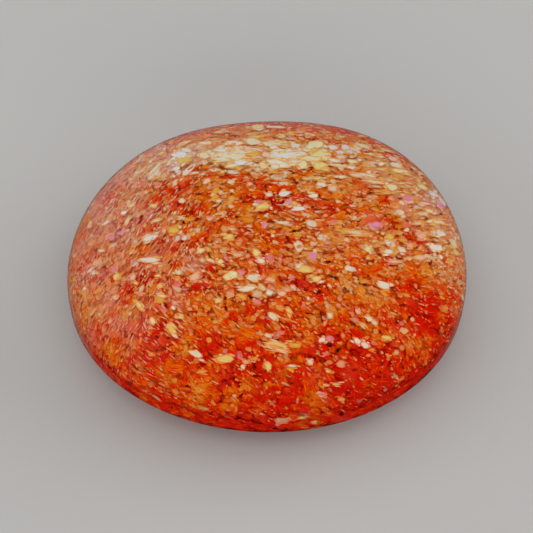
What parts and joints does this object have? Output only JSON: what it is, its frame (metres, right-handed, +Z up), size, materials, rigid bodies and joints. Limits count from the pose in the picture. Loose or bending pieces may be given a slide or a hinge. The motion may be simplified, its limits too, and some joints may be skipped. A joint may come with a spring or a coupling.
{
  "type": "oval sunstone",
  "caption": "Oval polished sunstone with a broad domed top, a soft shoulder and a bevelled flat back that it rests on, full of glittering orange-red platelets.",
  "frame": {"origin": "on the flat back that the stone rests on, under the middle of its bounding box", "axes": "+X along the stone's length, +Y across its width, +Z up through the dome"},
  "size_m": [0.02, 0.0176, 0.006],
  "materials": {
    "sunstone": "high polish, translucent orange-red with reflective copper, gold and pink platelets"
  },
  "bodies": {
    "root": {"sunstone": "sunstone"}
  },
  "joints": []
}
